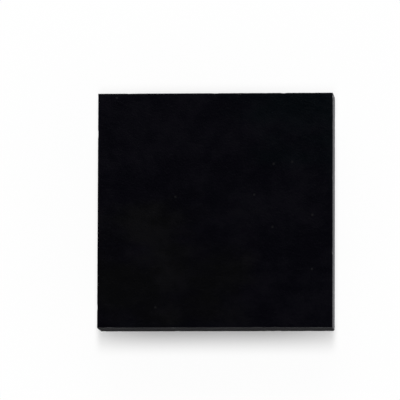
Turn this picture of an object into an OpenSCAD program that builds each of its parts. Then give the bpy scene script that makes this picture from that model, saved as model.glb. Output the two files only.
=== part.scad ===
// Audio amplifier chip in a wafer-level package: a bare silicon die that carries its own solder balls.
// The chip lies as it is soldered to a board, with its balls down and its black film up.
// Z = 0 is the seating plane under the balls, and the Z axis runs through the middle of the die.
// Seen from above, row a runs along the +Y edge and column 1 along the -X edge. Sizes are in millimetres.

/* [Die] */
// Edge length of the square die and of the film on its back
body_size = 1.5; // [1.4:0.01:2]
// Thickness of the silicon
silicon_thickness = 0.33; // [0.2:0.005:0.5]
// Thickness of the black film laminated to the back of the silicon
film_thickness = 0.025; // [0.015:0.005:0.06]
// Thickness of the wiring and glass layers that hold the amplifier circuit
circuit_thickness = 0.01; // [0.006:0.001:0.02]

/* [Saw street] */
// Width of the ledge that the wide first saw pass leaves along each edge
street_step = 0.015; // [0.01:0.001:0.03]
// How far that first pass cuts into the silicon
street_depth = 0.05; // [0.03:0.005:0.12]
// Corner radius of the first blade, which rounds the root of the ledge
blade_radius = 0.01; // [0.004:0.001:0.02]

/* [Ball grid] */
// Rows of balls, lettered from the +Y edge
ball_rows = 3; // [1:1:3]
// Columns of balls, numbered from the -X edge
ball_columns = 3; // [1:1:3]
// Distance between neighbouring balls
ball_pitch = 0.5; // [0.36:0.01:0.54]
// Height of a ball from the seating plane to its bump pad
ball_height = 0.22; // [0.15:0.005:0.28]

/* [Bump pads] */
// Diameter of the metal bump pad that a ball wets
bump_pad_diameter = 0.23; // [0.18:0.005:0.27]
// Thickness of the bump pad's metal
bump_pad_thickness = 0.005; // [0.003:0.001:0.008]
// How far the bump pad's rim laps over the polymer
bump_pad_lap = 0.02; // [0.012:0.001:0.03]

/* [Polymer layer] */
// Thickness of the polymer layer that covers the circuit
polymer_thickness = 0.01; // [0.006:0.001:0.016]
// How far the polymer stays back from the edge of the circuit layer
polymer_setback = 0.016; // [0.008:0.001:0.03]
// Corner radius of the polymer layer
polymer_corner = 0.05; // [0.02:0.005:0.1]
// How much an opening's wall leans in, from the outer face to the pad under it
opening_lean = 0.004; // [0.002:0.001:0.008]

/* [Aluminium pads] */
// How far an aluminium pad reaches past the opening above it
pad_margin = 0.012; // [0.006:0.001:0.02]
// Thickness of an aluminium pad
pad_thickness = 0.004; // [0.002:0.001:0.005]

/* [Hidden] */
// Smoothness of every round face
$fn = 64;
// Sides of an aluminium pad
pad_sides = 8;
// Level of each face where two layers meet, counted up from the seating plane
rim_level = ball_height;
polymer_level = rim_level + bump_pad_thickness;
circuit_level = polymer_level + polymer_thickness;
silicon_level = circuit_level + circuit_thickness;
film_level = silicon_level + silicon_thickness;
// Sizes of the layers under the die, which the first saw pass and the polymer's own edge set
circuit_size = body_size - 2 * street_step;
polymer_size = circuit_size - 2 * polymer_setback;
// A reflowed ball is a sphere cut off by the bump pad that it wets
bump_pad_radius = bump_pad_diameter / 2;
ball_radius = (pow(ball_height, 2) + pow(bump_pad_radius, 2)) / (2 * ball_height);
// Opening in the polymer, and the dish that the bump pad forms where it lines the opening
mouth_radius = bump_pad_radius - bump_pad_lap;
floor_radius = mouth_radius - opening_lean;
dish_mouth_radius = mouth_radius - bump_pad_thickness;
dish_floor_radius = floor_radius - bump_pad_thickness;
dish_level = circuit_level - bump_pad_thickness;
// An aluminium pad is measured across its flats
pad_width = 2 * (floor_radius + pad_margin);
pad_circumradius = pad_width / 2 / cos(180 / pad_sides);
// The blade's rounding stays inside the ledge that it cuts
ledge_radius = min(blade_radius, street_step, street_depth);
// How far a cutting shape runs past the face that it cuts
overcut = polymer_thickness;
// Every ball site as [row, column], counted from zero
sites = [for (row = [0 : ball_rows - 1]) for (column = [0 : ball_columns - 1]) [row, column]];

function site_name(site) = str(chr(97 + site[0]), site[1] + 1);
function site_x(site) = (site[1] - (ball_columns - 1) / 2) * ball_pitch;
function site_y(site) = ((ball_rows - 1) / 2 - site[0]) * ball_pitch;

// Moves a piece that is drawn on the Z axis to its ball site
module at_site(site) {
    translate([site_x(site), site_y(site), 0]) children();
}

// A flat square slab, centred on the Z axis, that stands on the given level
module slab(size, level, thickness) {
    translate([0, 0, level]) linear_extrude(thickness) square(size, center = true);
}

// A square outline with round corners
module rounded_square(size, corner) {
    square([size, size - 2 * corner], center = true);
    square([size - 2 * corner, size], center = true);
    for (x = [-1, 1], y = [-1, 1])
        translate([x, y] * (size / 2 - corner)) circle(corner);
}

// Black film that protects the back of the die and takes the marking in use
module backside_film() {
    color("#09090c") slab(body_size, film_level, film_thickness);
}

// Section of what the first blade removes beside an edge: X runs into the die, Y up from the circuit side
module street_section() {
    translate([-overcut, -overcut])
        square([street_step + overcut, street_depth - ledge_radius + overcut]);
    translate([-overcut, -overcut])
        square([street_step - ledge_radius + overcut, street_depth + overcut]);
    translate([street_step - ledge_radius, street_depth - ledge_radius]) circle(ledge_radius);
}

// One pass of the first blade along the -X edge
module street_cut() {
    translate([-body_size / 2, 0, silicon_level])
        rotate([90, 0, 0])
            linear_extrude(body_size + 2 * overcut, center = true) street_section();
}

// Silicon die, sawn in two passes so that a rounded ledge runs round its circuit side
module silicon_die() {
    color("#2c2d31") difference() {
        slab(body_size, silicon_level, silicon_thickness);
        for (side = [0 : 3]) rotate(90 * side) street_cut();
    }
}

// An aluminium pad on the Z axis: an octagon with flats across X and Y, let into the circuit layer
module pad_blank(below = 0) {
    translate([0, 0, circuit_level - below])
        rotate(180 / pad_sides)
            cylinder(h = pad_thickness + below, r = pad_circumradius, $fn = pad_sides);
}

// Wiring and glass layers of the amplifier, with a recess for every aluminium pad
module circuit_layer() {
    color("#1b211c") difference() {
        slab(circuit_size, circuit_level, circuit_thickness);
        for (site = sites) at_site(site) pad_blank(below = overcut);
    }
}

module aluminium_pad() {
    color("#8d9094") pad_blank();
}

// What an opening removes from the polymer: a cone from mouth to floor that runs past both faces
module opening_cut() {
    rotate_extrude() polygon([
        [0, polymer_level - overcut],
        [mouth_radius, polymer_level - overcut],
        [mouth_radius, polymer_level],
        [floor_radius, circuit_level],
        [floor_radius, circuit_level + overcut],
        [0, circuit_level + overcut]
    ]);
}

// Polymer that covers the circuit, open above every aluminium pad
module polymer_layer() {
    color("#0b0d0b") difference() {
        translate([0, 0, polymer_level])
            linear_extrude(polymer_thickness) rounded_square(polymer_size, polymer_corner);
        for (site = sites) at_site(site) opening_cut();
    }
}

// Dished bump pad: its rim laps the polymer, its wall lines the opening, and its floor meets the aluminium
module bump_pad() {
    color("#77706a") rotate_extrude() polygon([
        [0, circuit_level],
        [floor_radius, circuit_level],
        [mouth_radius, polymer_level],
        [bump_pad_radius, polymer_level],
        [bump_pad_radius, rim_level],
        [dish_mouth_radius, rim_level],
        [dish_floor_radius, dish_level],
        [0, dish_level]
    ]);
}

// Section of a ball: a circle cut off at the bump pad's rim, with the solder that fills the dish above it
module ball_section() {
    intersection() {
        translate([0, ball_radius]) circle(ball_radius);
        square([ball_radius, rim_level]);
    }
    polygon([
        [0, rim_level / 2],
        [dish_mouth_radius, rim_level],
        [dish_floor_radius, dish_level],
        [0, dish_level]
    ]);
}

module solder_ball() {
    color("#4a4b49") rotate_extrude() ball_section();
}

backside_film();
silicon_die();
circuit_layer();
polymer_layer();
for (site = sites) {
    at_site(site) aluminium_pad();
    at_site(site) bump_pad();
    at_site(site) solder_ball();
}
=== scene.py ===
# %% [markdown]
# # An audio amplifier chip, dressed in Blender
#
# The object is a wafer-level chip: a bare silicon die, 1.5 mm square, with a black film on its back and
# nine solder balls on its circuit side. Its solids come from a CAD model and stay where they are. This
# lesson gives every piece the surface that a saw, a laminator and a reflow oven leave on the real one.

import math

import bpy
import numpy as np
from mathutils import Matrix, Vector, noise


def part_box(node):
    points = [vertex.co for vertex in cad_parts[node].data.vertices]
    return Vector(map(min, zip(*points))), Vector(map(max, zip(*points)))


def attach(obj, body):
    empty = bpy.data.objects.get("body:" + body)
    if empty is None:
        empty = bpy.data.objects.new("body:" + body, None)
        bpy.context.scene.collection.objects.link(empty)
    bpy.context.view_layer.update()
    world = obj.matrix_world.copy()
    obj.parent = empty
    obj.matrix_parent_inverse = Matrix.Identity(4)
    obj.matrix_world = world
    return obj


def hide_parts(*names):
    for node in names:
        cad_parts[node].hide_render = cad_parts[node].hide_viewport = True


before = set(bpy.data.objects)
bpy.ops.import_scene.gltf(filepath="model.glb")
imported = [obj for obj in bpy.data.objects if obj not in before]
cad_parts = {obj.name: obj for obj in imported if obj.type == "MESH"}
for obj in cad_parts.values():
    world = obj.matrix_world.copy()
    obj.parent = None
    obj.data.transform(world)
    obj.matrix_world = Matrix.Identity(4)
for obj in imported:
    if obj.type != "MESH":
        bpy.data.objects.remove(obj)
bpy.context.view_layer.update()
print("solids loaded:", len(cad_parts))

# %% [markdown]
# ## Sizes, in millimetres
#
# Blender counts in metres, and the layers of this chip are 10 to 25 millionths of one. The lesson
# therefore works in millimetres and turns a mesh into metres once, when it is made. The sizes could be
# typed in again from the CAD model, but then the two could drift apart. Each is measured instead, on the
# box of a solid or on the corners of its mesh.

# %% Measure the solids
MM = 0.001


def box_mm(node):
    """The lowest and the highest corner of a solid's box."""
    low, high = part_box(node)
    return np.array(low) / MM, np.array(high) / MM


def corners_mm(node):
    """Every corner of a solid's mesh, as rows of x, y and z."""
    return np.array([corner.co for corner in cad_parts[node].data.vertices]) / MM


film_low, film_high = box_mm("backside_film")
die_low, die_high = box_mm("silicon_die")
body_half = film_high[0]
print(f"body {2 * body_half:.3f} mm square, {film_high[2]:.3f} mm high")

# %% [markdown]
# ## The camera
#
# The photograph looks almost straight at the black face, with a sliver of the right and the lower side
# in view. A microscope camera sees a chip this way, with nearly parallel rays, so a very long lens stands
# in for it. The camera could be nudged by hand until the picture fits. Working its place out from the
# edges of the face in the photograph, in pixels, and from two angles is quicker and exact. A square seen
# from the corner leans a little in the picture, and the camera rolls to share the lean between its edges.

# %% Work out where the camera stands
PHOTO_SIZE = 400
FACE_LEFT, FACE_RIGHT = 97.0, 333.0
FACE_TOP, FACE_BOTTOM = 92.5, 327.9
TILT_RIGHT = math.radians(4.0)
TILT_FRONT = math.radians(5.7)
LENS = 500
SENSOR = 36

face_pixels = (FACE_RIGHT - FACE_LEFT + FACE_BOTTOM - FACE_TOP) / 2
pixel = 2 * body_half / face_pixels
aim = Vector((
    (PHOTO_SIZE / 2 - (FACE_LEFT + FACE_RIGHT) / 2) * pixel,
    ((FACE_TOP + FACE_BOTTOM) / 2 - PHOTO_SIZE / 2) * pixel,
    film_high[2],
))
towards = Vector((math.tan(TILT_RIGHT), -math.tan(TILT_FRONT), 1)).normalized()
distance = PHOTO_SIZE * pixel / 2 / (SENSOR / 2 / LENS)
print(f"one pixel is {pixel * 1000:.2f} micrometres, camera {distance:.1f} mm away")

# %% Roll the camera level
edge_x = (Vector((1, 0, 0)) - towards * towards.x).normalized()
edge_y = (Vector((0, 1, 0)) - towards * towards.y).normalized()
diagonal = (edge_x + edge_y).normalized()
other_diagonal = (edge_x - edge_y).normalized()
across = (diagonal + other_diagonal).normalized()
print(f"the face's edges lean {math.degrees(edge_x.angle(across)):.2f} degrees in the picture")

# %% Set up the camera
lens = bpy.data.cameras.new("microscope_camera")
lens.lens = LENS
lens.sensor_width = SENSOR
lens.clip_start = distance * MM / 100
lens.clip_end = distance * MM * 10
camera = bpy.data.objects.new("microscope_camera", lens)
camera.matrix_world = Matrix((across, towards.cross(across), towards)).transposed().to_4x4()
camera.location = (aim + towards * distance) * MM
bpy.context.scene.collection.objects.link(camera)
bpy.context.scene.camera = camera
print("camera at", [round(v / MM, 2) for v in camera.location], "mm")

# %% [markdown]
# ## A skin over a stack of loops
#
# The film, the die and a ball have one thing in common: each is a section carried round a closed path,
# square or round. Blender's own cubes and spheres with bevels could start them off, but their points lie
# where the tool puts them. Here a piece is a list of loops of points from its lowest to its highest, each
# with as many points, and the skin joins neighbours with quads. A loop can be bent point by point before
# it is skinned, which is where the marks of the saw come in.

# %% Make loops
def square_loop(half, level, per_side):
    """Points once round a square, counter-clockwise seen from above, with a point in each corner."""
    along = np.linspace(-half, half, per_side, endpoint=False)
    fixed = np.full(per_side, half)
    x = np.concatenate((along, fixed, -along, -fixed))
    y = np.concatenate((-fixed, along, fixed, -along))
    return np.column_stack((x, y, np.full(4 * per_side, level)))


def circle_loop(centre, radius, level, count):
    """Points once round a circle, counter-clockwise seen from above."""
    turn = np.linspace(0, 2 * math.pi, count, endpoint=False)
    x = centre[0] + radius * np.cos(turn)
    y = centre[1] + radius * np.sin(turn)
    return np.column_stack((x, y, np.full(count, level)))


print("a square of four points:", square_loop(1, 0, 1)[:, :2].tolist())

# %% Join loops into a mesh
SHARP_EDGE = math.radians(32)


def quads_between(loops):
    """Faces that join each loop to the next one."""
    count = len(loops[0])
    quads = []
    for row in range(len(loops) - 1):
        for k in range(count):
            here = row * count + k
            beside = row * count + (k + 1) % count
            quads.append((here, beside, beside + count, here + count))
    return quads


def last_lid(loops):
    """The face that closes the last loop."""
    count = len(loops[0])
    return tuple(range((len(loops) - 1) * count, len(loops) * count))


def mesh_object(name, loops, faces):
    """Puts a mesh over the points of the loops into the scene, in metres."""
    mesh = bpy.data.meshes.new(name)
    mesh.from_pydata((np.concatenate(loops) * MM).tolist(), [], faces)
    mesh.shade_smooth()
    mesh.set_sharp_from_angle(angle=SHARP_EDGE)
    made = bpy.data.objects.new(name, mesh)
    bpy.context.scene.collection.objects.link(made)
    return made


print("edges sharper than", round(math.degrees(SHARP_EDGE)), "degrees stay crisp")

# %% Dress a solid in a skin
def skin(name, loops, node, marks=None):
    """A closed mesh that stands for one CAD node; marks are named values for each of its points."""
    first_lid = tuple(reversed(range(len(loops[0]))))
    piece = mesh_object(name, loops, quads_between(loops) + [first_lid, last_lid(loops)])
    for mark, values in (marks or {}).items():
        kept = piece.data.attributes.new(mark, "FLOAT", "POINT")
        kept.data.foreach_set("value", np.concatenate(values))
    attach(piece, "root")
    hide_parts(node)
    print(name, "has", len(piece.data.polygons), "faces")
    return piece


print("a skin rides on the root body and hides the solid that it stands for")

# %% Bend loops
SAME = 1e-5


def ripple(points, per_mm):
    """Smooth noise from -1 to 1 at each point, with so many waves to the millimetre along x, y and z."""
    stretch = Vector(per_mm)
    return np.array([noise.noise(Vector(point) * stretch) for point in points])


def lifted(value):
    """A value from -1 to 1, brought to between 0 and 1."""
    return 0.5 + 0.5 * value


def over(value, threshold):
    """How far a value from -1 to 1 stands above a threshold, from 0 to 1."""
    return np.clip((value - threshold) / (1 - threshold), 0, 1)


def push_in(loop, depth):
    """Moves each point of a square loop towards the middle, square to the side that it lies on."""
    half = np.abs(loop[:, :2]).max()
    on_side = np.abs(loop[:, :2]) > half - SAME
    moved = loop.copy()
    moved[:, :2] -= np.sign(loop[:, :2]) * on_side * depth[:, None]
    return moved


print("lengths closer than", SAME, "mm count as the same")

# %% [markdown]
# ## The black film
#
# The film is a filled resin, laminated to the back of the wafer and cut by the same saw as the silicon.
# Up close its face has the gentle swells of a laminated skin, its top edge is slightly rounded, and its
# cut edge is torn and nicked where the blade passed. A slab with a bump map would be less work, but bump
# leaves the outline dead straight. So the nicks and swells are real points: loops climb the cut edge,
# turn over the rounded rim and close in on the middle of the face.

# %% Shape the cut edge of the film
FILM_PER_SIDE = 180
FILM_TEAR = 0.0009
TEAR_WAVES = (45, 45, 30)
FILM_NICK = 0.005
NICK_WAVES = (17, 17, 12)
NICK_RARITY = 0.28


def film_loop(half, level, wear):
    """One loop of the film; wear runs from 1 on the cut edge to 0 on the face."""
    loop = square_loop(half, level, FILM_PER_SIDE)
    tear = FILM_TEAR * lifted(ripple(loop, TEAR_WAVES))
    nick = FILM_NICK * over(ripple(loop, NICK_WAVES), NICK_RARITY)
    return push_in(loop, wear * (tear + nick))


print(f"film nicks reach {FILM_NICK + FILM_TEAR:.4f} mm in at most")

# %% Make the film
FILM_RIM = 0.006
CUT_STEPS = 4
RIM_STEPS = 5
FACE_STEPS = 58
FACE_MIDDLE = 0.008
FILM_SWELL = 0.0008
SWELL_FADE = 0.05
SWELL_WAVES = (6, 6, 1)
DIMPLE_WAVES = (21, 21, 1)
SWELL_SHARE, DIMPLE_SHARE = 0.7, 0.3


def film_edge_loops():
    """The cut edge and the rounded rim."""
    shoulder = film_high[2] - FILM_RIM
    loops = [film_loop(body_half, level, 1) for level in np.linspace(film_low[2], shoulder, CUT_STEPS)]
    for turn in np.linspace(0, math.pi / 2, RIM_STEPS + 1)[1:]:
        inset = FILM_RIM * (1 - math.cos(turn))
        loops.append(film_loop(body_half - inset, shoulder + FILM_RIM * math.sin(turn), math.cos(turn)))
    return loops


def film_face_loops():
    """The face, from the rim to the middle, which only ever swells downwards from the solid's level."""
    rim_half = body_half - FILM_RIM
    loops = []
    for half in np.linspace(rim_half, FACE_MIDDLE, FACE_STEPS)[1:]:
        face = film_loop(half, film_high[2], 0)
        swell = SWELL_SHARE * ripple(face, SWELL_WAVES) + DIMPLE_SHARE * ripple(face, DIMPLE_WAVES)
        fade = min(1, (rim_half - half) / SWELL_FADE)
        face[:, 2] -= FILM_SWELL * fade * lifted(swell)
        loops.append(face)
    return loops


film = skin("laminated_film", film_edge_loops() + film_face_loops(), "backside_film")

# %% [markdown]
# ## The sawn die
#
# A wafer is cut in two passes. A wide blade first cuts the streets between the dies part of the way down,
# and a narrow one goes through, so a ledge runs round the circuit side of every die. Silicon is brittle:
# small shell-shaped chips break out along the edges and at the corners. A Boolean could cut each chip
# out, but with so many it is slow and leaves ragged faces. Here each chip is a shallow scoop with a
# place on the way round, and the points of a fine mesh inside it move in. How deep they went stays with
# them as a mark for the finish.

# %% Measure the ledge
die_corners = corners_mm("silicon_die")
outermost = np.abs(die_corners[:, :2]).max(axis=1)
ledge_level = die_corners[outermost > body_half - SAME, 2].min()
wall_half = box_mm("circuit_layer")[1][0]
on_ledge = np.abs(die_corners[:, 2] - ledge_level) < SAME
root_radius = outermost[on_ledge].min() - wall_half
way_round = 8 * body_half
print(f"ledge {ledge_level:.3f} mm up, root radius {root_radius:.3f} mm, {way_round:.1f} mm round")

# %% Scatter the chips
CHIPS_PER_EDGE = 75
CHIP_LENGTH = (0.006, 0.030)
CHIP_REACH = (0.003, 0.026)
CHIP_DEPTH = (0.002, 0.009)
MOSTLY_SMALL = (1.2, 3.2)
CORNER_CHIPS = 3
CORNER_LEAST = (0.003, 0.005, 0.001)
CORNER_MOST = (0.008, 0.022, 0.005)
CHIP_SEED = 12


def scatter_chips(luck):
    """Chips as rows of place on the way round, height, half length, reach up or down, and depth."""
    scattered = []
    for height in (ledge_level, die_high[2]):
        for place in luck.uniform(0, way_round, CHIPS_PER_EDGE):
            size = luck.beta(*MOSTLY_SMALL)
            scoop = [low + size * (high - low) for low, high in (CHIP_LENGTH, CHIP_REACH, CHIP_DEPTH)]
            scattered.append((place, height, *scoop))
    for corner in range(4):
        for height in luck.uniform(ledge_level, die_high[2], CORNER_CHIPS):
            scoop = luck.uniform(CORNER_LEAST, CORNER_MOST)
            scattered.append((corner * way_round / 4, height, *scoop))
    return scattered


chips = scatter_chips(np.random.default_rng(CHIP_SEED))
print("chips:", len(chips), "and the deepest is", round(max(chip[4] for chip in chips), 4), "mm")

# %% Bend a loop of the die
DIE_PER_SIDE = 300
SAW_WAVE = 0.0006
SAW_WAVES = (3, 3, 55)
RAGGED = 0.3
RAGGED_WAVES = (70, 70, 70)
around = np.arange(4 * DIE_PER_SIDE) / (4 * DIE_PER_SIDE) * way_round


def broken_out(level):
    """How deep the chips go at each point of a loop at that level."""
    deep = np.zeros(4 * DIE_PER_SIDE)
    ragged = RAGGED * ripple(square_loop(body_half, level, DIE_PER_SIDE), RAGGED_WAVES)
    for place, height, length, reach, depth in chips:
        if abs(level - height) < reach * math.sqrt(1 + RAGGED):
            along = (around - place + way_round / 2) % way_round - way_round / 2
            inside = 1 - (along / length) ** 2 - ((level - height) / reach) ** 2 + ragged
            deep = np.maximum(deep, depth * np.sqrt(np.clip(inside, 0, 1)))
    return deep


def die_loop(half, level, deep):
    """One loop of the die; on the ledge, chips draw in only the share of it that is outside the wall."""
    loop = square_loop(half, level, DIE_PER_SIDE)
    wave = SAW_WAVE * lifted(ripple(loop, SAW_WAVES))
    share = (half - wall_half) / (body_half - wall_half)
    return push_in(loop, deep * share + wave)


print(f"points {way_round / len(around) * 1000:.0f} micrometres apart round the die")

# %% Make the die
WALL_STEPS = 5
ROOT_STEPS = 5
EDGE_BAND = 0.03
EDGE_STEPS = 13
SIDE_STEPS = 20


def die_rows():
    """Half size and level of each loop: the wall under the ledge, the ledge's root, then the side."""
    root = ledge_level - root_radius
    top = die_high[2]
    rows = [(wall_half, level) for level in np.linspace(die_low[2], root, WALL_STEPS)]
    for turn in np.linspace(0, math.pi / 2, ROOT_STEPS + 1)[1:]:
        rows.append((wall_half + root_radius * (1 - math.cos(turn)), root + root_radius * math.sin(turn)))
    low_band = np.linspace(ledge_level, ledge_level + EDGE_BAND, EDGE_STEPS)
    side = np.linspace(ledge_level + EDGE_BAND, top - EDGE_BAND, SIDE_STEPS)[1:-1]
    high_band = np.linspace(top - EDGE_BAND, top, EDGE_STEPS)
    return rows + [(body_half, level) for level in (*low_band, *side, *high_band)]


rows = die_rows()
depths = [broken_out(max(level, ledge_level)) for half, level in rows]
die_skin = [die_loop(half, level, deep) for (half, level), deep in zip(rows, depths)]
fracture = [deep / CHIP_DEPTH[1] * (half == body_half) for (half, level), deep in zip(rows, depths)]
die = skin("sawn_die", die_skin, "silicon_die", {"fracture": fracture})

# %% [markdown]
# ## The solder balls
#
# A ball of solder melts on its pad and freezes as a sphere that the pad cuts off. It shrinks a little
# unevenly as it freezes, so it is never as round as a bearing ball. A sphere from Blender's menu would
# have to be cut off and filled. Loops from the foot to the pad's rim end where they should, and two more
# fill the dish in the pad. The unevenness only ever goes inwards, so the ball stays inside its solid.

# %% Measure the balls
ROWS, COLUMNS = "abc", "123"
sites = [row + column for row in ROWS for column in COLUMNS]


def radii_at(node, centre, level):
    """The distances from the axis of a solid's corners at one level."""
    corners = corners_mm(node)
    there = corners[np.abs(corners[:, 2] - level) < SAME]
    return np.hypot(there[:, 0] - centre[0], there[:, 1] - centre[1])


ball_low, ball_high = box_mm("solder_ball_" + sites[0])
rim_level = box_mm("bump_pad_" + sites[0])[0][2]
ball_radius = (ball_high[0] - ball_low[0]) / 2
ball_middle = (ball_low + ball_high) / 2
dish_mouth = radii_at("solder_ball_" + sites[0], ball_middle, rim_level).min()
dish_floor = radii_at("solder_ball_" + sites[0], ball_middle, ball_high[2]).max()
print(f"ball radius {ball_radius:.4f} mm, dish {dish_mouth:.4f} to {dish_floor:.4f} mm")

# %% Make the balls
BALL_TURN = 80
BALL_RISE = 44
FOOT_STEP = 0.25
BALL_UNEVEN = 0.0016
DENT_WAVES = (11, 11, 11)
PIT_WAVES = (34, 34, 34)
DENT_SHARE, PIT_SHARE = 0.35, 0.15
pad_turn = math.acos((ball_radius - rim_level) / ball_radius)


def ball_loop(middle, turn):
    """A loop of the ball at an angle from its foot, drawn in unevenly between the foot and the pad."""
    level = middle[2] - ball_radius * math.cos(turn)
    loop = circle_loop(middle, ball_radius * math.sin(turn), level, BALL_TURN)
    uneven = 0.5 + DENT_SHARE * ripple(loop, DENT_WAVES) + PIT_SHARE * ripple(loop, PIT_WAVES)
    drawn = BALL_UNEVEN / ball_radius * math.sin(math.pi * turn / pad_turn) * uneven
    return loop + (middle - loop) * drawn[:, None]


def ball_loops(site):
    """The loops of one ball from its foot to the pad's rim, and the two that fill the dish."""
    low, high = box_mm("solder_ball_" + site)
    middle = np.array((*(low + high)[:2] / 2, low[2] + ball_radius))
    turns = np.linspace(FOOT_STEP * pad_turn / BALL_RISE, pad_turn, BALL_RISE)
    loops = [ball_loop(middle, turn) for turn in turns]
    loops.append(circle_loop(middle, dish_mouth, rim_level, BALL_TURN))
    loops.append(circle_loop(middle, dish_floor, high[2], BALL_TURN))
    return loops


balls = [skin("reflowed_ball_" + site, ball_loops(site), "solder_ball_" + site) for site in sites]

# %% [markdown]
# ## Writing shaders as sums
#
# A finish is a graph of nodes that says how a surface takes the light. It could be drawn with the mouse,
# or typed link by link, and both are hard to read later. Two small classes make it read like arithmetic.
# A Signal is one socket of the graph: adding, taking away or multiplying Signals and plain numbers adds
# the Math node that does it. A Shading is the graph itself, and its method called node makes any other
# node: first the node's settings, then its sockets, each a plain value or a Signal to be linked.

# %% Define Signal
class Signal:
    """One output socket that Python's operators can reckon with."""

    def __init__(self, shading, socket):
        self.shading = shading
        self.socket = socket

    def beside(self, output):
        """Another output of the same node."""
        return Signal(self.shading, self.socket.node.outputs[output])

    def reckon(self, operation, first, second):
        """What a Math node makes of two values."""
        return self.shading.node("ShaderNodeMath", {"operation": operation}, {0: first, 1: second})

    def __add__(self, other):
        return self.reckon("ADD", self, other)

    def __sub__(self, other):
        return self.reckon("SUBTRACT", self, other)

    def __rsub__(self, other):
        return self.reckon("SUBTRACT", other, self)

    def __mul__(self, other):
        return self.reckon("MULTIPLY", self, other)

    __radd__ = __add__
    __rmul__ = __mul__


print("a Signal adds, takes away and multiplies")

# %% Define Shading
class Shading:
    """A node graph that is written from Python."""

    def __init__(self, tree):
        self.tree = tree
        tree.nodes.clear()

    def node(self, kind, settings=None, sockets=None, output=0):
        """Any node, with its settings set first and then its sockets; gives one of its outputs."""
        made = self.tree.nodes.new(kind)
        for name, value in (settings or {}).items():
            setattr(made, name, value)
        for key, value in (sockets or {}).items():
            if isinstance(value, Signal):
                self.tree.links.new(value.socket, made.inputs[key])
            else:
                made.inputs[key].default_value = value
        return Signal(self, made.outputs[output]) if made.outputs else None

    def place(self, stretch=(1, 1, 1)):
        """Where a point lies on the chip, in millimetres, stretched along x, y and z."""
        where = self.node("ShaderNodeTexCoord", output="Object")
        scale = tuple(share / MM for share in stretch)
        return self.node("ShaderNodeVectorMath", {"operation": "MULTIPLY"}, {0: where, 1: scale})

    def parts(self, vector):
        """The x, y and z of a vector."""
        x = self.node("ShaderNodeSeparateXYZ", {}, {0: vector})
        return x, x.beside(1), x.beside(2)

    def cloud(self, place, per_mm, detail=2.0, roughness=0.5):
        """Smooth noise from 0 to 1 with about that many waves to the millimetre."""
        sockets = {"Vector": place, "Scale": per_mm, "Detail": detail, "Roughness": roughness}
        return self.node("ShaderNodeTexNoise", {}, sockets)

    def between(self, value, low, high):
        """0 where the value is under low, 1 where it is over high, and a soft step between them."""
        sockets = {"Value": value, "From Min": low, "From Max": high}
        return self.node("ShaderNodeMapRange", {"interpolation_type": "SMOOTHSTEP"}, sockets)

    def blend(self, share, first, second):
        """A colour between two colours."""
        return self.node("ShaderNodeMix", {"data_type": "RGBA"}, {0: share, 6: first, 7: second}, output=2)

    def raised(self, height, depth):
        """A normal bent by a height from 0 to 1 that stands for a depth in millimetres."""
        return self.node("ShaderNodeBump", {}, {"Height": height, "Distance": depth * MM})

    def surface(self, **sockets):
        """The Principled surface, with its sockets named in snake case."""
        named = {}
        for name, value in sockets.items():
            named[name.replace("_", " ").title().replace("Ior", "IOR")] = value
        shader = self.node("ShaderNodeBsdfPrincipled", {}, named)
        self.node("ShaderNodeOutputMaterial", {}, {"Surface": shader})


print("a Shading has", [name for name in vars(Shading) if not name.startswith("_")])

# %% Start a finish and put it on
def new_finish(name):
    """A new material, and the Shading that writes its nodes."""
    material = bpy.data.materials.new(name)
    material.use_nodes = True
    return material, Shading(material.node_tree)


def rgb(red, green, blue):
    """An opaque colour, as a socket takes it."""
    return (red, green, blue, 1.0)


def wear_finish(pieces, material):
    """Puts a finish on pieces in place of any that they had."""
    for piece in pieces:
        piece.data.materials.clear()
        piece.data.materials.append(material)
    print(material.name, "with", len(material.node_tree.nodes), "nodes on", len(pieces), "pieces")


print("a colour is written as red, green, blue and alpha:", rgb(0, 0, 0))

# %% [markdown]
# ## Finish of the film
#
# The face is a blue-violet black that drifts to a neutral black in one patch and to a greenish one in a
# corner. The resin is filled with grains that lie closer in some places, where the face is paler and
# duller. They give it a fine grain on top of a faint orange peel, as on lacquer, and a few show as pale
# specks. The cut edge is a different surface of the same resin: dull, greyer, and smeared along the
# blade's path. A picture of a real film could be wrapped on, but it would blur up close. Noise never does.
# Which surface a point belongs to is read from its normal, because the face looks up and the edge sideways.

# %% Tint the face of the film
VIOLET_BLACK = rgb(0.00058, 0.00051, 0.00190)
NEUTRAL_BLACK = rgb(0.00127, 0.00133, 0.00172)
GREEN_BLACK = rgb(0.00019, 0.00099, 0.00194)
PALER_BY = (0.0011, 0.0010, 0.0013)
PALE_STEP = 0.40, 0.66
PATCH_STRETCH = (1, 1.7, 1)
PATCHES_PER_MM = 2.1
NEUTRAL_X, NEUTRAL_Y = -0.29, -0.34
NEUTRAL_FALL = 0.8
NEUTRAL_STEP = 0.22, 0.52
GREEN_RISE_X, GREEN_RISE_Y = 0.40, 0.34
GREEN_STEP = 0.52, 0.72


def film_tint(s, place, mottle):
    """Neutral round one place, greenish in the corner towards +X and +Y, violet elsewhere."""
    x, y = s.parts(place)[:2]
    patches = s.cloud(s.place(PATCH_STRETCH), PATCHES_PER_MM, detail=2, roughness=0.6)
    aside_x, aside_y = x - NEUTRAL_X, y - NEUTRAL_Y
    neutral = s.between(patches - NEUTRAL_FALL * (aside_x * aside_x + aside_y * aside_y), *NEUTRAL_STEP)
    greenish = s.between(0.6 * patches + GREEN_RISE_X * x + GREEN_RISE_Y * y, *GREEN_STEP)
    tint = s.blend(neutral, VIOLET_BLACK, NEUTRAL_BLACK)
    tint = s.blend(greenish, tint, GREEN_BLACK)
    pale = s.node("ShaderNodeVectorMath", {"operation": "ADD"}, {0: tint, 1: PALER_BY})
    return s.blend(s.between(mottle, *PALE_STEP), tint, pale)


print("the film has three blacks, each with a paler one")

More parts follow.
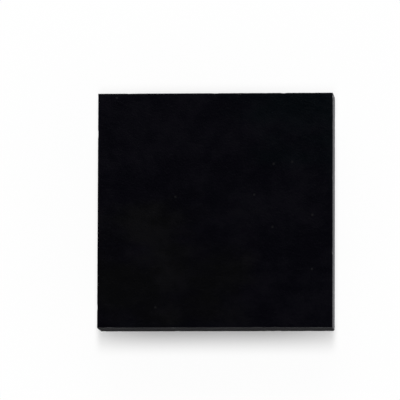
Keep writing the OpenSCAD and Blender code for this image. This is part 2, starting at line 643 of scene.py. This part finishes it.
# %% Sprinkle specks
SPECKS_PER_MM = 8.0
SPECK_SIZE = 0.055
SPECK_EDGE = 0.4 * SPECK_SIZE, 1.6 * SPECK_SIZE
SPECK_LUCK = 0.92, 0.94


def film_specks(s, place):
    """1 in the middle of a speck and 0 beside it; only a few of the cells that could hold one do."""
    cells = {"Vector": place, "Scale": SPECKS_PER_MM, "Randomness": 1.0}
    from_middle = s.node("ShaderNodeTexVoronoi", {"voronoi_dimensions": "2D"}, cells, output="Distance")
    luck = s.parts(from_middle.beside("Color"))[0]
    return s.between(luck, *SPECK_LUCK) * (1 - s.between(from_middle, *SPECK_EDGE))


print(f"specks about {SPECK_SIZE / SPECKS_PER_MM * 2000:.0f} micrometres wide")

# %% Finish the film
SPECK_GREY = rgb(0.0085, 0.0085, 0.0095)
SMEAR_DARK = rgb(0.011, 0.011, 0.0115)
SMEAR_PALE = rgb(0.035, 0.035, 0.0365)
FACE_TURN = 0.35, 0.85
MOTTLE_PER_MM = 4.2
DULL_STEP = 0.36, 0.66
GRAIN_PER_MM = 75
PEEL_PER_MM = 16
PEEL_DEPTH = 0.0028
SMEAR_PER_MM = (4, 4, 190)


def film_finish():
    """The face and the cut edge of the film, told apart by the way that a point looks."""
    material, s = new_finish("black_film")
    place = s.place()
    upward = s.parts(s.node("ShaderNodeNewGeometry", output="Normal"))[2]
    face = s.between(upward, *FACE_TURN)
    mottle = s.cloud(place, MOTTLE_PER_MM, detail=5, roughness=0.68)
    grain = s.cloud(place, GRAIN_PER_MM, detail=3, roughness=0.7)
    peel = s.cloud(place, PEEL_PER_MM, detail=3, roughness=0.55)
    smear = s.cloud(s.place(SMEAR_PER_MM), 1.0, detail=2)
    face_colour = s.blend(film_specks(s, place), film_tint(s, place, mottle), SPECK_GREY)
    edge_colour = s.blend(smear, SMEAR_DARK, SMEAR_PALE)
    face_roughness = 0.32 + 0.08 * s.between(mottle, *DULL_STEP) + 0.14 * grain
    edge_roughness = 0.50 + 0.20 * smear
    relief = (peel + 0.8 * grain) * face + 0.3 * smear * (1 - face)
    s.surface(
        base_color=s.blend(face, edge_colour, face_colour),
        roughness=edge_roughness + (face_roughness - edge_roughness) * face,
        specular_ior_level=0.035,
        normal=s.raised(relief, PEEL_DEPTH),
    )
    return material


wear_finish([film], film_finish())

# %% [markdown]
# ## Finish of the silicon
#
# Silicon has the lustre of a dark grey metal. A diamond saw leaves it satin, with very fine lines along
# the cut, in slight arcs because the blade is round. Anisotropic gloss could hint at such lines, but up
# close they are lines. A noise that is stretched along the side and squeezed across it draws them, a
# coarse set and a fine one. The first, wider cut below the ledge was made with a finer blade, so it is
# smoother. The tone goes by the way that a side faces: the sides that face along X are painted pale, as
# painted light, and those that face along Y dark, as painted shade, and the pale sides are rougher.
# Inside a chip the break is fresh and smooth, and it stands out on the dark sides; its tone, too, is
# painted lighter or darker with its side. A saw's scratches trap light that comes in flat, so the edge
# tint, the share that a metal throws back at a flat angle, is set low.

# %% Draw the saw's lines
LINES_PER_MM = 62, 210
CHANGES_PER_MM = 1.4, 3.5
LINE_DETAIL = 2, 1
ARC_TILT, ARC_BEND = 0.02, 0.008
CORNER_BLEND = 0.004


def saw_lines(s, place):
    """A coarse and a fine set of lines that follow the sides and rise and fall in a slight arc."""
    x, y, z = s.parts(place)
    along = x + y
    arc = z + ARC_TILT * along - ARC_BEND * (along * along)
    lines = []
    for across, onward, detail in zip(LINES_PER_MM, CHANGES_PER_MM, LINE_DETAIL):
        where = s.node("ShaderNodeCombineXYZ", {}, {0: along * onward, 1: arc * across, 2: x - y})
        lines.append(s.cloud(where, 1.0, detail=detail))
    return lines


def painted_lit_sides(s, place):
    """1 on the sides that face along X, painted lit, and 0 on those along Y, painted shaded."""
    x, y = s.parts(s.node("ShaderNodeVectorMath", {"operation": "ABSOLUTE"}, {0: place}))[:2]
    return s.between(x - y, -CORNER_BLEND, CORNER_BLEND)


print("micrometres between saw lines:", [round(1000 / per_mm) for per_mm in LINES_PER_MM])

# %% Finish the silicon
# Tones for the sides along X, painted light, and along Y, painted shade; the fresh breaks take one of each.
PAINTED_SHADE_SILICON = rgb(0.047, 0.047, 0.050), rgb(0.098, 0.098, 0.102)
PAINTED_LIGHT_SILICON = rgb(0.170, 0.170, 0.177), rgb(0.335, 0.335, 0.345)
FRESH_BREAK_SHADED_AND_LIT = rgb(0.145, 0.145, 0.152), rgb(0.26, 0.26, 0.27)
PIT_SHADE = (0.80, 0.80, 0.80)
EDGE_TINT = rgb(0.04, 0.04, 0.04)
TONE_CLOUDS_PER_MM = 5
TONE_STEP = 0.25, 0.90
PITS_PER_MM = 85
PIT_STEP = 0.60, 0.72
FRESH_STEP = 0.02, 0.30
SECOND_CUT_STEP = ledge_level - 0.004, ledge_level + 0.002
BREAK_ROUGHNESS = 0.36
LINE_DEPTH = 0.0012


def silicon_finish():
    """Sawn sides with lines and pits, painted lit along X and shaded along Y, and fresh breaks in the
    chips.
    """
    material, s = new_finish("sawn_silicon")
    place = s.place()
    coarse, fine = saw_lines(s, place)
    tone_clouds = s.cloud(place, TONE_CLOUDS_PER_MM, detail=3, roughness=0.6)
    pits = s.between(s.cloud(place, PITS_PER_MM, detail=2, roughness=0.6), *PIT_STEP)
    fracture_mark = s.node("ShaderNodeAttribute", {"attribute_name": "fracture"}, output="Fac")
    fresh = s.between(fracture_mark, *FRESH_STEP)
    second_cut = s.between(s.parts(place)[2], *SECOND_CUT_STEP)
    lines = (0.4 + 0.6 * second_cut) * (0.55 * coarse + 0.45 * fine)
    tone = s.between(0.8 * lines + 0.35 * tone_clouds, *TONE_STEP)
    # Painted light and shade: the sides along X are painted pale as if lit, those along Y dark as if
    # shaded.
    pale = painted_lit_sides(s, place)
    sawn = s.blend(pale, s.blend(tone, *PAINTED_SHADE_SILICON), s.blend(tone, *PAINTED_LIGHT_SILICON))
    shaded = s.node("ShaderNodeVectorMath", {"operation": "MULTIPLY"}, {0: sawn, 1: PIT_SHADE})
    pitted = s.blend(pits, sawn, shaded)
    satin = 0.34 + 0.12 * second_cut + 0.10 * fine + 0.14 * pale
    s.surface(
        # Each fresh break takes the painted light or painted shade of the side that it is on.
        base_color=s.blend(fresh, pitted, s.blend(pale, *FRESH_BREAK_SHADED_AND_LIT)),
        metallic=1.0,
        roughness=satin + (BREAK_ROUGHNESS - satin) * fresh,
        specular_tint=EDGE_TINT,
        normal=s.raised((1 - fresh) * (lines - 0.35 * pits), LINE_DEPTH),
    )
    return material


wear_finish([die], silicon_finish())

# %% [markdown]
# ## Finishes of the circuit side
#
# The wiring and glass of the circuit show only as an olive band at the edge, and the polymer over them
# is almost black and glossy, like lacquer. The band could be cut into its real layers, each about as
# thick as a wave of light is long, but no eye would see them. The CAD meshes already have the right form,
# so they stay, and each gets a surface of its own: squeezed noise for the stacked wiring, slow noise for
# the flow of the polymer.

# %% Finish the circuit layer
GLASS_DARK = rgb(0.020, 0.027, 0.014)
GLASS_PALE = rgb(0.045, 0.048, 0.021)
WIRING_TAN = rgb(0.11, 0.10, 0.075)
GLASS_PER_MM = 7
GLASS_STEP = 0.35, 0.65
WIRING_PER_MM = (24, 24, 160)
WIRING_STEP = 0.5, 0.7
WIRING_DEPTH = 0.0004


def circuit_finish():
    """Olive glass with thin layers of tan wiring."""
    material, s = new_finish("circuit_glass")
    tint = s.cloud(s.place(), GLASS_PER_MM, detail=3)
    wiring = s.cloud(s.place(WIRING_PER_MM), 1.0, detail=1)
    glass = s.blend(s.between(tint, *GLASS_STEP), GLASS_DARK, GLASS_PALE)
    s.surface(
        base_color=s.blend(0.5 * s.between(wiring, *WIRING_STEP), glass, WIRING_TAN),
        metallic=0.35 * wiring,
        roughness=0.22 + 0.18 * tint,
        normal=s.raised(wiring, WIRING_DEPTH),
    )
    return material


wear_finish([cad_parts["circuit_layer"]], circuit_finish())

# %% Finish the polymer
POLYMER_DARK = rgb(0.0024, 0.0032, 0.0026)
POLYMER_PALE = rgb(0.0055, 0.0060, 0.0058)
FLOW_PER_MM = 5
DUST_PER_MM = 70
FLOW_DEPTH = 0.0005


def polymer_finish():
    """A dark, glossy coat that flowed out, with a little dust in it."""
    material, s = new_finish("dark_polymer")
    place = s.place()
    flow = s.cloud(place, FLOW_PER_MM, detail=4, roughness=0.55)
    dust = s.cloud(place, DUST_PER_MM, detail=2)
    s.surface(
        base_color=s.blend(flow, POLYMER_DARK, POLYMER_PALE),
        roughness=0.16 + 0.14 * flow + 0.08 * dust,
        normal=s.raised(flow + 0.3 * dust, FLOW_DEPTH),
    )
    return material


wear_finish([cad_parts["polymer_layer"]], polymer_finish())

# %% [markdown]
# ## Finishes of the metals
#
# Each bump pad is plated metal, warmer than the solder, and the aluminium pads lie hidden above them. The
# solder freezes with a faint pattern of crystals and tarnishes in clouds. One shared metal with another
# colour for each would be quicker, but solder that freezes and metal that is plated do not look alike up
# close. So the pads share one recipe with a fine grain, and the balls get their own.

# %% Finish the pads
ALUMINIUM = rgb(0.62, 0.62, 0.63), rgb(0.80, 0.80, 0.82)
BUMP_METAL = rgb(0.33, 0.29, 0.24), rgb(0.52, 0.47, 0.40)
PLATING_PER_MM = 150
PLATING_DEPTH = 0.0004


def plated_finish(name, dull, bright):
    """Plated or sputtered metal with a fine grain between two tones."""
    material, s = new_finish(name)
    grain = s.cloud(s.place(), PLATING_PER_MM, detail=2)
    s.surface(
        base_color=s.blend(grain, dull, bright),
        metallic=1.0,
        roughness=0.26 + 0.2 * grain,
        normal=s.raised(grain, PLATING_DEPTH),
    )
    return material


aluminium_pads = [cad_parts["aluminium_pad_" + site] for site in sites]
bump_pads = [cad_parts["bump_pad_" + site] for site in sites]
wear_finish(aluminium_pads, plated_finish("aluminium_film", *ALUMINIUM))
wear_finish(bump_pads, plated_finish("plated_bump_metal", *BUMP_METAL))

# %% Finish the balls
SOLDER_BRIGHT = rgb(0.34, 0.337, 0.328)
SOLDER_DULL = rgb(0.17, 0.168, 0.163)
CRYSTALS_PER_MM = 30.0
CRYSTAL_DEPTH = 0.0011
TARNISH_PER_MM = 8
TARNISH_STEP = 0.36, 0.68
FROST_PER_MM = 130


def solder_finish():
    """Frozen crystals under clouds of tarnish."""
    material, s = new_finish("reflowed_solder")
    place = s.place()
    cells = {"Vector": place, "Scale": CRYSTALS_PER_MM}
    crystals = s.node("ShaderNodeTexVoronoi", {"feature": "SMOOTH_F1"}, cells)
    tarnish = s.cloud(place, TARNISH_PER_MM, detail=4, roughness=0.6)
    frost = s.cloud(place, FROST_PER_MM, detail=2, roughness=0.6)
    dull = s.between(0.75 * tarnish + 0.25 * frost, *TARNISH_STEP)
    s.surface(
        base_color=s.blend(dull, SOLDER_BRIGHT, SOLDER_DULL),
        metallic=1.0,
        roughness=0.15 + 0.16 * dull + 0.05 * frost,
        normal=s.raised(crystals + 0.2 * frost, CRYSTAL_DEPTH),
    )
    return material


wear_finish(balls, solder_finish())

# %% [markdown]
# ## The stage
#
# A chip is photographed on a sheet of white card that curves up behind it. A flat floor would show its
# far edge in the low views, so this one is a bowl: flat under the chip, and turned up far away on every
# side. Card that is lit as softly as the chip comes out pale grey. More lamps would whiten it and wash
# out the chip. Instead the floor glows plain white for the camera's eye, a painted light, except close to
# the chip, where it stays card and keeps the chip's cast shadow. The glow's edge is drawn soft along two
# sides and squarer in front and behind, which shapes the shade. What a ball mirrors turns white further
# out.

# %% Make the floor
FLOOR_RADIUS = 55
FLOOR_MIDDLE = 0.5
FLOOR_TURN_UP = 10
FLOOR_POINTS = 96
FLAT_STEPS = 12
TURN_STEPS = 9


def floor_loops():
    """From the rim of the bowl down to the middle of the floor, so that its faces look inwards and up."""
    loops = []
    for turn in np.linspace(math.pi / 2, 0, TURN_STEPS + 1)[:-1]:
        radius = FLOOR_RADIUS + FLOOR_TURN_UP * math.sin(turn)
        loops.append(circle_loop((0, 0), radius, FLOOR_TURN_UP * (1 - math.cos(turn)), FLOOR_POINTS))
    for radius in np.linspace(FLOOR_RADIUS, FLOOR_MIDDLE, FLAT_STEPS):
        loops.append(circle_loop((0, 0), radius, 0, FLOOR_POINTS))
    return loops


bowl = floor_loops()
floor = mesh_object("floor", bowl, quads_between(bowl) + [last_lid(bowl)])
print("floor faces:", len(floor.data.polygons))

# %% Finish the floor
CARD = rgb(0.92, 0.92, 0.92)
WHITE = rgb(1, 1, 1)
NEAR_WHITE = 0.96
# The painted glow's window is shifted left, so the cast shade shows a little to the left of the chip.
SHADE_LEFT = 0.03
BESIDE_STEP = body_half - 0.06, body_half + 0.05
END_STEP = body_half - 0.015, body_half + 0.045
SQUARE_STEP = body_half - 0.11, body_half - 0.03
BEFORE_STEP = body_half - 0.07, body_half + 0.15
FAR_STEP = body_half + 0.10, body_half + 1.50


def floor_white(s):
    """How much of the card turns white, a painted glow that leaves the cast shade a little to the left."""
    shifted = s.node("ShaderNodeVectorMath", {"operation": "ADD"}, {0: s.place(), 1: (SHADE_LEFT, 0, 0)})
    x, y = s.parts(s.node("ShaderNodeVectorMath", {"operation": "ABSOLUTE"}, {0: shifted}))[:2]
    square = s.between(y, *SQUARE_STEP)
    soft = s.between(x, *BESIDE_STEP)
    beside = soft + (s.between(x, *END_STEP) - soft) * square
    shade = (1 - beside) * (1 - s.between(y, *BEFORE_STEP))
    far = s.between(s.node("ShaderNodeMath", {"operation": "MAXIMUM"}, {0: x, 1: y}), *FAR_STEP)
    seen = s.node("ShaderNodeLightPath", output="Is Camera Ray")
    mirrored = seen.beside("Is Glossy Ray") + seen.beside("Is Transmission Ray")
    return (NEAR_WHITE * (1 - shade) + (1 - NEAR_WHITE) * far) * seen + far * mirrored


def floor_finish():
    """White card that turns to plain white away from the chip."""
    material, s = new_finish("pale_card")
    card = s.node("ShaderNodeBsdfDiffuse", {}, {"Color": CARD})
    white = s.node("ShaderNodeEmission", {}, {"Color": WHITE, "Strength": 1.0})
    ground = s.node("ShaderNodeMixShader", {}, {0: floor_white(s), 1: card, 2: white})
    s.node("ShaderNodeOutputMaterial", {}, {"Surface": ground})
    return material


wear_finish([floor], floor_finish())

# %% [markdown]
# ## The light
#
# Straight above the chip the room is dark, because that is what a black face mirrors into a camera that
# looks down on it. A soft ring of light half way up does most of the work. It is stronger behind and in
# front of the chip than beside it, so that the shadow falls short on both sides. A picture of a real
# studio could light the scene, but a ring from a few numbers can be tuned and carries no one's room. Three
# softboxes add to it: the key behind the chip, a large low one at the right, and a weak one at the front
# left. A softbox's level is how bright it makes a white card that faces it, so the levels add up to plain
# daylight, and a colour renders about as it is written.

# %% Light the room
RING_LOW, RING_PEAK, ZENITH = 0.20, 1.05, 0.02
RISE_STEP = 0.36, 0.62
FALL_STEP = 0.72, 0.93
LEAN_BACK = 0.45
SIDE_SHADE = 0.80


def room_light():
    """A ring of grey light round a dark zenith."""
    world = bpy.data.worlds.new("studio")
    world.use_nodes = True
    s = Shading(world.node_tree)
    right, back, height = s.parts(s.node("ShaderNodeTexCoord", output="Generated"))
    rise = s.between(height, *RISE_STEP)
    fall = s.between(height, *FALL_STEP)
    ring = RING_LOW + (RING_PEAK - RING_LOW) * rise + (ZENITH - RING_PEAK) * fall
    level = ring * (1 + LEAN_BACK * back + SIDE_SHADE * (back * back - right * right))
    grey = s.node("ShaderNodeCombineColor", {}, {0: level, 1: level, 2: level})
    room = s.node("ShaderNodeBackground", {}, {"Color": grey, "Strength": 1.0})
    s.node("ShaderNodeOutputWorld", {}, {"Surface": room})
    return world


bpy.context.scene.world = room_light()
bpy.context.scene.view_settings.view_transform = "Standard"
print("room nodes:", len(bpy.context.scene.world.node_tree.nodes))

# %% Hang the softboxes
def softbox(name, azimuth, elevation, reach, width, level):
    """A square lamp seen from the chip at that azimuth (0 is +X, 90 is +Y) and elevation, in degrees."""
    turn, rise = math.radians(azimuth), math.radians(elevation)
    flat = math.cos(rise)
    direction = Vector((math.cos(turn) * flat, math.sin(turn) * flat, math.sin(rise)))
    lamp = bpy.data.lights.new(name, "AREA")
    lamp.shape = "SQUARE"
    lamp.size = width * MM
    lamp.energy = level * (math.pi * reach * MM) ** 2
    box = bpy.data.objects.new(name, lamp)
    box.location = direction * reach * MM
    box.rotation_mode = "QUATERNION"
    box.rotation_quaternion = direction.to_track_quat("Z", "Y")
    bpy.context.scene.collection.objects.link(box)
    print(name, "at", [round(v / MM, 1) for v in box.location], "mm")


softbox("key_softbox", azimuth=88, elevation=48, reach=22, width=9, level=0.35)
softbox("right_softbox", azimuth=-12, elevation=26, reach=40, width=30, level=0.42)
softbox("fill_softbox", azimuth=240, elevation=24, reach=26, width=14, level=0.10)

# %% [markdown]
# ## The size
#
# The dressed chip has to stay the size of its solids.
